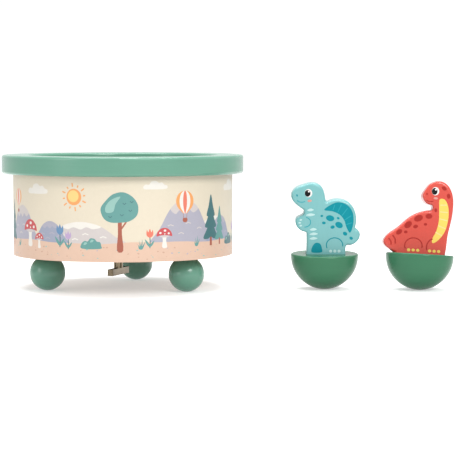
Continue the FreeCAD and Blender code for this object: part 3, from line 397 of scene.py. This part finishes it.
def tulip(ink):
    left_leaf = [(0, 0), (-2.6, 2.6), (-3.9, 6.2), (-1.6, 4.2), (0.1, 1.8)]
    right_leaf = [(0, 0), (2.4, 2.2), (3.5, 5.2), (1.5, 3.6), (0, 1.6)]
    head = [(-2.6, 9.4), (-2.3, 13.4), (-1.2, 11.6), (0, 14.2), (1.2, 11.6), (2.3, 13.4), (2.6, 9.4),
            (0, 7.4)]
    return [("deep_teal", stroke([(0, -0.6), (0.2, 4), (0, 8.4)], 0.7)), ("teal", smooth(left_leaf, 4)),
            ("teal", smooth(right_leaf, 4)), (ink, smooth(head, 4))]


def grass():
    shapes = []
    for lean, tall in ((-2.2, 3.4), (-0.9, 5.0), (0.7, 5.6), (2.1, 3.9)):
        blade = [(lean * 0.3 - 0.5, -0.4), (lean * 0.8, tall * 0.6), (lean * 1.3, tall),
                 (lean * 0.8 + 0.5, tall * 0.5), (lean * 0.3 + 0.5, -0.4)]
        shapes.append(("teal", smooth(blade, 3)))
    return shapes


def bush(ink):
    mound = [(-6.5, -0.6), (-7, 2.6), (-4.6, 4.8), (-2.4, 4.4), (-0.4, 6.6), (2.6, 6.2), (4.2, 4.4),
             (6.4, 4.0), (7.2, 1.6), (6.5, -0.6)]
    left_light = [(-5.4, 2.0), (-4.4, 3.9), (-2.8, 3.4), (-3.8, 2.2)]
    right_light = [(-0.6, 3.9), (0.4, 5.7), (2.0, 5.1), (0.8, 4.0)]
    return [(ink, smooth(mound, 5)), ("pale_teal", smooth(left_light, 4)),
            ("pale_teal", smooth(right_light, 4))]


HILL_LIGHT = {"haze": "white", "lavender": "haze", "slate": "lavender"}


def hill(wide, tall, ink):
    """A rounded hill with a lighter, ragged top and a few light marks."""
    half = wide / 2
    light = HILL_LIGHT[ink]
    back = [(-half, -1), (-half * 0.72, tall * 0.36), (-half * 0.4, tall * 0.82), (0, tall),
            (half * 0.4, tall * 0.82), (half * 0.72, tall * 0.36), (half, -1), (0, -1.2)]
    top = [(-half * 0.42, tall * 0.8), (-half * 0.2, tall * 0.955), (0, tall), (half * 0.2, tall * 0.955),
           (half * 0.42, tall * 0.8), (half * 0.26, tall * 0.7), (half * 0.12, tall * 0.78), (0, tall * 0.68),
           (-half * 0.15, tall * 0.77), (-half * 0.28, tall * 0.68)]
    shapes = [(ink, smooth(back)), (light, smooth(top, 4))]
    for across, up in ((-0.42, 0.42), (0.1, 0.46), (0.46, 0.34), (-0.12, 0.24)):
        x, y = half * across, tall * up
        shapes.append((light, stroke([(x - 1.8, y), (x, y + 0.7), (x + 1.8, y)], 0.55)))
    return shapes


# Motifs of the landscape that hang in the sky, about the origin
def cloud():
    puff = [(-9, 0), (-10, 1.8), (-8, 3.6), (-5.4, 3.4), (-3.6, 5.8), (0, 6.4), (2.8, 4.8), (5.2, 5.2),
            (7.4, 3.2), (9.6, 2.6), (9.4, 0.4), (4, -0.2), (-4, -0.2)]
    return [("white", smooth(puff, 5))]


def sun():
    rays = 12
    shapes = [("orange", oval(0, 0, 10.6, 10.6, count=36)), ("yellow", oval(-0.4, 0.5, 7.6, 7.6, count=30))]
    for step in range(rays):
        angle = 2 * math.pi * step / rays + 0.13
        along, up = math.cos(angle), math.sin(angle)
        reach = 9.0 if step % 2 else 8.0
        shapes.append(("orange", stroke([(6.5 * along, 6.5 * up), (reach * along, reach * up)], 0.9)))
    return shapes


def balloon():
    """Gores of a striped balloon, ropes and basket."""
    turns = [math.radians(89 - 11 * step) for step in range(13)]
    round_side = [(7.5 * math.cos(turn), 0.5 + 7.5 * math.sin(turn)) for turn in turns]

    def edge(share):
        return [(share * wide, y) for wide, y in round_side + [(1.5, -8.2)]]

    basket = [(-1.8, -11.6), (1.8, -11.6), (1.5, -14.2), (-1.5, -14.2)]
    shapes = []
    for side in (-1, 1):
        shapes.append(("rust", stroke([(side * 1.6, -8), (side * 1.3, -12)], 0.3)))
    shapes.append(("rust", smooth(basket, 3)))
    gores = [(-1.0, -0.62, "orange"), (-0.62, -0.22, "white"), (-0.22, 0.22, "coral"), (0.22, 0.62, "white"),
             (0.62, 1.0, "orange")]
    for left, right, ink in gores:
        shapes.append((ink, edge(left) + edge(right)[::-1]))
    return shapes


def kite():
    tail = [(0, -6), (1.4, -8.4), (-0.4, -10.8), (1.2, -13.2)]
    return [("coral", [(0, 6), (4.2, 0.6), (0, -6), (-4.2, 0.6)]), ("yellow", [(0, 6), (4.2, 0.6), (0, 0.6)]),
            ("yellow", [(0, 0.6), (0, -6), (-4.2, 0.6)]), ("rust", stroke(tail, 0.35))]


# Printed sleeve
INKS = {
    "sky": srgb(232, 220, 197), "ground": srgb(230, 194, 170), "ground_shade": srgb(206, 166, 142),
    "white": srgb(242, 237, 228), "haze": srgb(212, 203, 200), "lavender": srgb(178, 176, 190),
    "slate": srgb(160, 166, 186), "teal": srgb(96, 158, 152), "deep_teal": srgb(58, 112, 116),
    "pale_teal": srgb(150, 196, 186), "rust": srgb(172, 88, 64), "coral": srgb(236, 122, 96),
    "red": srgb(206, 72, 76), "orange": srgb(246, 166, 92), "yellow": srgb(249, 214, 128),
    "blue": srgb(98, 142, 182), "lilac": srgb(190, 164, 204),
}
SLEEVE_THICK = 0.28
SLEEVE_STRIPS = 180
SEAM_REACH = 0.001 * MM
SHORE_STEPS = 48
PEBBLES = 150
PEBBLE_SEED = 7
PEBBLE_MARGIN = 2
PEBBLE_LEVELS = (1.4, 8.2)
PEBBLE_WIDTHS = (0.5, 1.5)
PEBBLE_FLATNESS = 0.55
PEBBLE_TURN = 0.4
GROUND_LEVEL = 10.5
HILL_FOOT = GROUND_LEVEL - 1.5
STANDING_LEVEL = GROUND_LEVEL - 2.2
# Standing motifs sit lower by up to the stagger, according to their place along the band
STAGGER = 1.4
STAGGER_STEPS = 3
# Place along the band, width, height and ink, from the farthest hill to the nearest
HILLS = [
    (-88, 40, 17, "haze"), (-20, 56, 13, "haze"), (64, 46, 15, "haze"), (118, 54, 16, "haze"),
    (-136, 60, 18, "haze"), (172, 40, 12, "haze"),
    (-66, 36, 21, "lavender"), (-40, 28, 13, "slate"), (40, 44, 25, "lavender"), (70, 30, 15, "slate"),
    (126, 42, 23, "lavender"), (-120, 38, 20, "slate"), (-164, 34, 17, "lavender"), (164, 30, 14, "slate"),
]
# Motif, place along the band and scale
STANDING = [
    (round_tree(), 2, 1.0), (conifer("deep_teal"), -82, 0.96), (conifer("teal"), -91, 0.72),
    (toadstool(), -57, 0.98), (toadstool(), -48.6, 0.55), (tulip("blue"), -33, 0.86),
    (tulip("lilac"), -27.6, 0.68), (bush("teal"), -14, 0.8), (grass(), 13.5, 0.9),
    (conifer("deep_teal"), 60, 1.06), (conifer("teal"), 69, 0.8), (toadstool(), 27, 0.72),
    (tulip("coral"), 18.6, 0.72), (bush("deep_teal"), 82, 0.84), (tulip("lilac"), 92, 0.9),
    (tulip("blue"), 97, 0.7), (round_tree(), 108, 0.94), (grass(), 118, 1.0), (toadstool(), 128, 0.9),
    (conifer("deep_teal"), 142, 0.9), (conifer("teal"), 150, 1.08), (bush("teal"), 160, 1.0),
    (tulip("coral"), 172, 0.8), (round_tree(), 184, 0.86), (grass(), -190, 1.0),
    (conifer("teal"), -178, 1.0), (conifer("deep_teal"), -169, 0.8), (tulip("blue"), -158, 0.84),
    (tulip("lilac"), -152, 0.7), (round_tree(), -140, 0.98), (toadstool(), -124, 0.9),
    (toadstool(), -116, 0.6), (bush("deep_teal"), -104, 0.9), (grass(), -70, 0.8), (grass(), 48, 0.9),
]
# Motif, place along the band, height above its lower edge and scale
HANGING = [
    (cloud(), -50, 37, 0.85), (cloud(), -94, 34, 0.7), (cloud(), 22, 40, 0.7), (cloud(), 84, 38, 0.95),
    (cloud(), 105, 40.6, 0.7), (cloud(), 168, 32, 0.9), (cloud(), -112, 40, 0.9), (cloud(), -186, 38, 0.8),
    (sun(), -24, 35.6, 0.86), (balloon(), 40, 32.6, 0.78), (balloon(), -72, 34.4, 0.6),
    (kite(), 129, 37, 0.75), (sun(), -161, 36.8, 0.84),
]


def shore(length):
    """The ground's wavy upper edge, which meets itself where the band's ends join."""
    points = []
    for step in range(SHORE_STEPS + 1):
        swell = 0.5 * math.sin(10 * math.pi * step / SHORE_STEPS)
        ripple = 0.25 * math.sin(26 * math.pi * step / SHORE_STEPS)
        points.append((length / 2 - length * step / SHORE_STEPS, GROUND_LEVEL + swell + ripple))
    return points


def pebbles(random_source, count, length):
    """Pebbles and specks strewn over the ground."""
    shapes = []
    for _ in range(count):
        x = random_source.uniform(-length / 2 + PEBBLE_MARGIN, length / 2 - PEBBLE_MARGIN)
        y = random_source.uniform(*PEBBLE_LEVELS)
        wide = random_source.uniform(*PEBBLE_WIDTHS)
        ink = random_source.choice(["ground_shade", "ground_shade", "lavender", "pale_teal"])
        turn = random_source.uniform(-PEBBLE_TURN, PEBBLE_TURN)
        shapes.append((ink, oval(x, y, wide, wide * PEBBLE_FLATNESS, turn, count=10)))
    return shapes


def landscape(length, height):
    """The whole band, unrolled: x along it from the middle of the front, y up from its lower edge."""
    half = length / 2
    shapes = [("sky", [(-half, 0), (half, 0), (half, height), (-half, height)])]
    for x, wide, tall, ink in HILLS:
        shapes += moved(hill(wide, tall, ink), x, HILL_FOOT, 1.0)
    shapes.append(("ground", [(-half, 0), (half, 0)] + shore(length)))
    shapes += pebbles(random.Random(PEBBLE_SEED), PEBBLES, length)
    for motif, x, size in STANDING:
        shapes += moved(motif, x, STANDING_LEVEL - STAGGER * (x % STAGGER_STEPS) / STAGGER_STEPS, size)
    for motif, x, y, size in HANGING:
        shapes += moved(motif, x, y, size)
    return shapes


def make_sleeve():
    """The print wrapped round the drum as a closed band with a plain paper back."""
    low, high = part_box("print_sleeve")
    middle = (low + high) / 2
    radius = (high.x - low.x) / 2
    thick = SLEEVE_THICK * MM
    height = (high.z - low.z) / MM
    length = 2 * math.pi * radius / MM
    strips = [length * (step / SLEEVE_STRIPS - 0.5) for step in range(1, SLEEVE_STRIPS)]
    spots, painted = flatten(landscape(length, height), [((x, 0), (x, height)) for x in strips])
    inks = sorted(INKS)
    paper = [printed_paper(f"print_{ink}", INKS[ink]) for ink in inks]

    def wrapped(spot):
        angle = spot.x * MM / radius
        x, y = middle.x + radius * math.sin(angle), middle.y - radius * math.cos(angle)
        return (x, y, low.z + spot.y * MM)

    def build(solid):
        corners_on_drum = [solid.verts.new(wrapped(spot)) for spot in spots]
        for corners, ink in painted:
            face = solid.faces.new([corners_on_drum[corner] for corner in corners])
            face.material_index = inks.index(ink)
            face.smooth = True
        bmesh.ops.remove_doubles(solid, verts=solid.verts, dist=SEAM_REACH)
        rims = [edge for edge in solid.edges if edge.is_boundary]
        for edge in rims:
            edge.smooth = False
        inner = bmesh.ops.extrude_edge_only(solid, edges=rims)["geom"]
        for corner in inner:
            if isinstance(corner, bmesh.types.BMVert):
                out = Vector((corner.co.x - middle.x, corner.co.y - middle.y, 0)).normalized()
                corner.co -= out * thick
        loops = [edge for edge in inner if isinstance(edge, bmesh.types.BMEdge) and edge.is_boundary]
        for edge in loops:
            edge.smooth = False
        lining = bmesh.ops.bridge_loops(solid, edges=loops)["faces"]
        for face in lining:
            face.smooth = True
            face.material_index = inks.index("white")

    sleeve = mesh_piece("printed_sleeve", "casing", paper, build)
    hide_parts("print_sleeve")


make_sleeve()


# Figures: marks printed on both faces of each cut-out
BALL_RADIUS = 19.5
PLATE_HALF = 6.0
FLAT_RISE = 1.2
INK_RISE = 0.05
SAIL_NOD = 2.2
LONGNECK_LEAN = 3.4
LONGNECK_TIP = -4.5
HAIRLINE = 0.45
FINE_LINE = 0.5
LIMB_LINE = 0.6
MARKS = {
    "white": srgb(252, 250, 246), "black": srgb(14, 13, 16), "dark_teal": srgb(0, 148, 162),
    "mid_teal": srgb(40, 166, 178), "pale_aqua": srgb(196, 232, 230), "dark_red": srgb(176, 44, 36),
    "sun_yellow": srgb(250, 216, 104), "pale_peach": srgb(252, 224, 160), "blush": srgb(226, 160, 150),
}
MARK_INKS = sorted(MARKS)
MARK_COATS = [painted_wood(f"mark_{ink}", MARKS[ink], rough=(0.4, 0.5), gloss=0.12) for ink in MARK_INKS]


def eye(x, y):
    """A round eye that looks towards the snout, with a glint."""
    return [("white", oval(x, y, 4.3, 4.7)), ("black", oval(x - 0.45, y - 0.1, 3.3, 3.9)),
            ("white", oval(x + 0.2, y + 0.95, 1.0, 1.1, count=16))]


def sail_marks():
    """A ribbed sail, spots, a pale chest, limbs and a face."""
    sail = [(-0.6, 25.7), (3.4, 28.8), (7.8, 30.1), (12.5, 28.5), (15.7, 24.2), (16.1, 17.8), (14.3, 12.6),
            (12.2, 15.6), (10.9, 19.6), (8.4, 22.8), (4.4, 24.8)]
    ribs = [((4.4, 25.6), (5.4, 28.6)), ((7.2, 24.4), (9.2, 28.8)), ((9.6, 22.4), (12.7, 26.6)),
            ((11.0, 19.8), (14.9, 22.4)), ((11.9, 17.2), (15.3, 18.3))]
    spots = [(2.8, 20.9, 4.8, 3.4, -0.2), (7.9, 17.0, 4.6, 3.4, -0.5), (4.2, 15.8, 2.5, 1.9, 0.2),
             (-0.8, 18.2, 2.1, 1.6, 0.0), (11.4, 12.0, 2.7, 2.1, -0.6), (-2.0, 22.2, 1.6, 1.3, 0.0),
             (14.9, 9.4, 2.1, 1.7, -0.5), (7.4, 20.9, 1.7, 1.3, -0.4)]
    chest_bars = [(25.4, -10.4, -6.6), (22.6, -11.2, -5.8), (14.2, -8.9, -4.8), (11.6, -9.0, -4.2),
                  (9.0, -9.0, -4.4)]
    foot = [(-7.6, 1.3), (-7.3, 4.6), (-5.4, 6.7), (-2.9, 6.2), (-1.9, 3.8), (-2.0, 1.3)]
    paw_level = 18.2
    marks = [("dark_teal", smooth(sail))]
    for start, end in ribs:
        marks.append(("mid_teal", stroke([start, end], FINE_LINE)))
    for spot in spots:
        marks.append(("dark_teal", oval(*spot)))
    for y, left, right in chest_bars:
        middle = (left + right) / 2
        bar = [(left, y), (middle, y + 1.1), (right, y + 0.3), (middle, y - 0.5)]
        marks.append(("pale_aqua", smooth(bar, 5)))
    marks += [("dark_teal", smooth(foot, 5)),
              ("dark_teal", stroke(arc(5.4, 5.4, 9.4, 8.4, start=205, end=-10), LIMB_LINE)),
              ("mid_teal", stroke(arc(-11.6, 18.6, 6.4, 5.6, start=80, end=-95), FINE_LINE))]
    for y in (19.9, paw_level, 16.6):
        marks.append(("pale_aqua", oval(-14.6 + abs(y - paw_level) * 0.35, y, 1.5, 1.0, 0.1, 16)))
    for x in (3.2, 5.6, 8.0):
        marks.append(("pale_aqua", oval(x, 1.9, 1.8, 1.7, count=18)))
    smile = arc(-13.6, 31.6, 5.2, 3.0, start=195, end=320)
    return marks + eye(-9.7, 35.3) + [("dark_teal", oval(-16.2, 34.0, 0.9, 1.4, 0.3, 16)),
                                      ("blush", oval(-9.0, 30.9, 2.4, 1.4, 0.1, 20)),
                                      ("mid_teal", stroke(smile, HAIRLINE))]


def longneck_marks():
    """A barred throat, spots, limbs, tail lines and a face."""
    throat = [(8.9, 31.6), (12.0, 31.5), (14.1, 27.2), (14.4, 20.6), (12.9, 13.6), (9.6, 8.6), (6.4, 6.5),
              (5.9, 8.8), (8.0, 13.6), (9.1, 19.6), (8.9, 26.2)]
    bars = [((9.5, 28.4), (13.2, 28.7)), ((9.5, 24.6), (13.9, 24.4)), ((9.5, 20.6), (14.0, 19.7)),
            ((8.9, 16.6), (13.2, 15.1)), ((7.6, 12.8), (11.4, 11.0))]
    spots = [(-13.2, 11.8, 3.8, 2.6, 0.7), (-8.3, 16.2, 4.8, 3.3, 0.75), (-2.6, 20.2, 5.2, 3.5, 0.45),
             (3.3, 21.7, 3.9, 2.9, 0.1), (-9.4, 12.0, 2.0, 1.6, 0.0), (-4.0, 15.4, 2.7, 2.0, 0.3),
             (1.6, 17.0, 1.9, 1.5, 0.0), (13.9, 33.8, 2.0, 2.9, 0.2), (11.1, 38.1, 3.0, 2.0, -0.6),
             (7.0, 25.4, 1.6, 2.2, 0.0)]
    tail_lines = [[(-19.0, 8.0), (-17.6, 6.2), (-17.4, 4.2)], [(-16.8, 9.8), (-15.2, 7.6), (-15.0, 5.0)]]
    marks = [("sun_yellow", smooth(throat))]
    for start, end in bars:
        marks.append(("pale_peach", stroke([start, end], FINE_LINE)))
    for spot in spots:
        marks.append(("dark_red", oval(*spot)))
    marks += [("dark_red", stroke(arc(-4.6, 4.4, 10.0, 9.0, start=205, end=-12), LIMB_LINE)),
              ("dark_red", stroke(arc(6.6, 4.0, 7.4, 9.6, start=200, end=95), LIMB_LINE))]
    for line in tail_lines:
        marks.append(("dark_red", stroke(line, 0.7)))
    for x in (-7.2, -4.6, -2.0, 4.8, 7.4, 10.0):
        marks.append(("sun_yellow", oval(x, 1.9, 1.9, 1.7, count=18)))
    smile = arc(3.6, 31.4, 4.6, 2.6, start=200, end=320)
    return marks + eye(6.2, 36.2) + [("dark_red", oval(1.5, 34.4, 0.9, 1.2, 0.2, 16)),
                                     ("blush", oval(6.6, 32.2, 2.4, 1.4, 0.0, 20)),
                                     ("dark_red", stroke(smile, HAIRLINE))]


def figure_place(base, pitch, roll):
    """The middle of a ball base, with the figure's tilt about Y and X in degrees."""
    low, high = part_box(base)
    centre = Vector(((low.x + high.x) / 2, (low.y + high.y) / 2, low.z + BALL_RADIUS * MM))
    turn = Matrix.Rotation(math.radians(pitch), 4, "Y") @ Matrix.Rotation(math.radians(roll), 4, "X")
    return Matrix.Translation(centre) @ turn


def print_marks(name, body, placement, shapes):
    """Thin raised ink on the front and the back of a figure."""
    spots, painted = flatten(shapes)

    def build(solid):
        for side in (-1, 1):
            layers = []
            for rise in (INK_RISE, -INK_RISE):
                level = side * (PLATE_HALF + rise)
                places = [Vector((spot.x * MM, level * MM, (spot.y + FLAT_RISE) * MM)) for spot in spots]
                layers.append([solid.verts.new(placement @ place) for place in places])
            outer, inner = layers
            uses = {}
            for corners, ink in painted:
                for layer in layers:
                    face = solid.faces.new([layer[corner] for corner in corners])
                    face.material_index = MARK_INKS.index(ink)
                for pair in zip(corners, corners[1:] + corners[:1]):
                    uses.setdefault(frozenset(pair), []).append((pair, ink))
            for found in uses.values():
                if len(found) == 1:
                    (start, end), ink = found[0]
                    face = solid.faces.new([outer[start], outer[end], inner[end], inner[start]])
                    face.material_index = MARK_INKS.index(ink)
        loose = [corner for corner in solid.verts if not corner.link_faces]
        bmesh.ops.delete(solid, geom=loose, context="VERTS")

    piece = mesh_piece(name, body, MARK_COATS, build)


sail_place = figure_place("sail_base", pitch=0, roll=SAIL_NOD)
print_marks("sail_print", "sail_dancer", sail_place, sail_marks())
longneck_place = figure_place("longneck_base", pitch=LONGNECK_LEAN, roll=LONGNECK_TIP)
print_marks("longneck_print", "longneck_dancer", longneck_place, longneck_marks())


# Floor, light and camera, in metres, watts and degrees, with the sensor in millimetres
FLOOR_HALF = 6.0
FLOOR_DROP = 0.05 * MM
FLOOR_GLOW = 0.4
SKY_STRENGTH = 1.02
# The photograph's own view, worked out from the rim and the feet in it
PHOTO_PIXELS = 457
FOCAL_PIXELS = 1691
SENSOR_WIDTH = 36.0
CAMERA_PLACE = (0.001, -0.985, 0.0988)
CAMERA_TILT = 3.75


def make_floor():
    """A pale floor that glows a little, so that it shows as the photograph's white ground."""
    floor = bpy.data.objects.new("floor", bpy.data.meshes.new("floor"))
    scene.collection.objects.link(floor)
    plan = bmesh.new()
    under = Matrix.Translation((0, 0, -FLOOR_DROP))
    bmesh.ops.create_grid(plan, x_segments=2, y_segments=2, size=FLOOR_HALF, matrix=under)
    plan.to_mesh(floor.data)
    plan.free()
    look = Surface("floor", Roughness=0.9, Emission_Color=WHITE, Emission_Strength=FLOOR_GLOW)
    look.colour(look.ramp(look.noise(scale=3, detail=2), grey(0.59), grey(0.61)))
    floor.data.materials.append(look.material)


def make_sky():
    world = bpy.data.worlds.new("studio")
    world.use_nodes = True
    sky = world.node_tree.nodes["Background"]
    sky.inputs["Color"].default_value = WHITE
    sky.inputs["Strength"].default_value = SKY_STRENGTH
    scene.world = world


def area_light(name, place, aim, size, power):
    lamp = bpy.data.lights.new(name, "AREA")
    lamp.shape = "RECTANGLE"
    lamp.size, lamp.size_y = size
    lamp.energy = power
    item = bpy.data.objects.new(name, lamp)
    item.location = place
    item.rotation_euler = (Vector(aim) - Vector(place)).to_track_quat("-Z", "Y").to_euler()
    scene.collection.objects.link(item)


def make_camera():
    lens = bpy.data.cameras.new("camera")
    lens.sensor_width = SENSOR_WIDTH
    lens.lens = SENSOR_WIDTH * FOCAL_PIXELS / PHOTO_PIXELS
    camera = bpy.data.objects.new("camera", lens)
    camera.location = CAMERA_PLACE
    camera.rotation_euler = (math.radians(90 - CAMERA_TILT), 0, 0)
    scene.collection.objects.link(camera)
    scene.camera = camera


make_floor()
make_sky()
area_light("left", place=(-0.98, -0.72, 0.32), aim=(0, 0, 0.04), size=(0.45, 0.45), power=2.6)
area_light("right", place=(0.46, -0.98, 0.64), aim=(0.02, 0, 0.04), size=(0.45, 0.45), power=10.2)
area_light("top", place=(-0.05, 0.05, 0.9), aim=(-0.05, 0, 0.05), size=(0.9, 0.3), power=12.0)
make_camera()
scene.view_settings.view_transform = "Standard"
